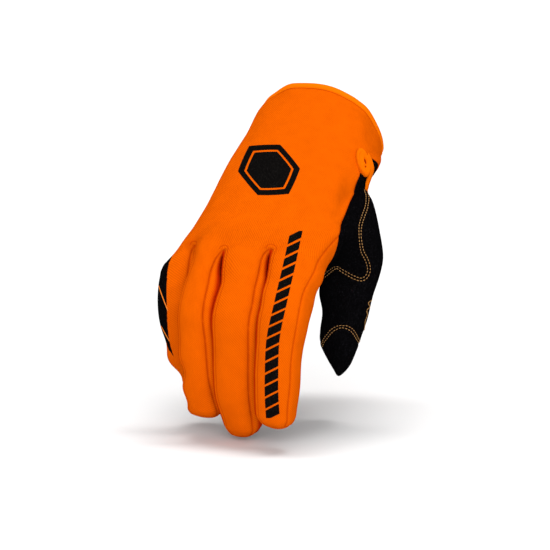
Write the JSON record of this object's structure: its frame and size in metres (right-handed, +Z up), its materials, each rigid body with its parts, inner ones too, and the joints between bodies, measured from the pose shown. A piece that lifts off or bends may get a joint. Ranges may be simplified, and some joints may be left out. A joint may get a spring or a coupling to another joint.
{
  "type": "motocross glove",
  "caption": "Right-hand motocross glove held open as when worn, with a stretch back, a suede palm and thumb, and a moulded strap closure at the wrist.",
  "frame": {"origin": "middle of the cuff's opening, at the panels' rim", "axes": "+Z up with the fingers hanging down, +X towards the thumb, +Y away from the backs of the fingers; the cuff opens up and towards +Y"},
  "size_m": [0.1148, 0.1764, 0.1681],
  "materials": {
    "orange_cloth": "matt diagonal twill",
    "black_suede": "matt synthetic suede",
    "black_patch": "matt, coarser grain",
    "orange_rubber": "satin moulded"
  },
  "bodies": {
    "root": {"back_panel": "orange_cloth", "index_side_panel": "orange_cloth", "fourchette_middle_index": "orange_cloth", "fourchette_ring_middle": "orange_cloth", "fourchette_pinky_ring": "orange_cloth", "cuff_palm_band": "orange_cloth", "cuff_binding": "orange_cloth", "palm_panel": "black_suede", "pinky_side_panel": "black_suede", "thumb_sleeve": "black_suede", "thumb_tip_cap": "black_suede", "thumb_saddle_patch": "black_patch", "closure_strap": "orange_rubber"}
  },
  "joints": []
}
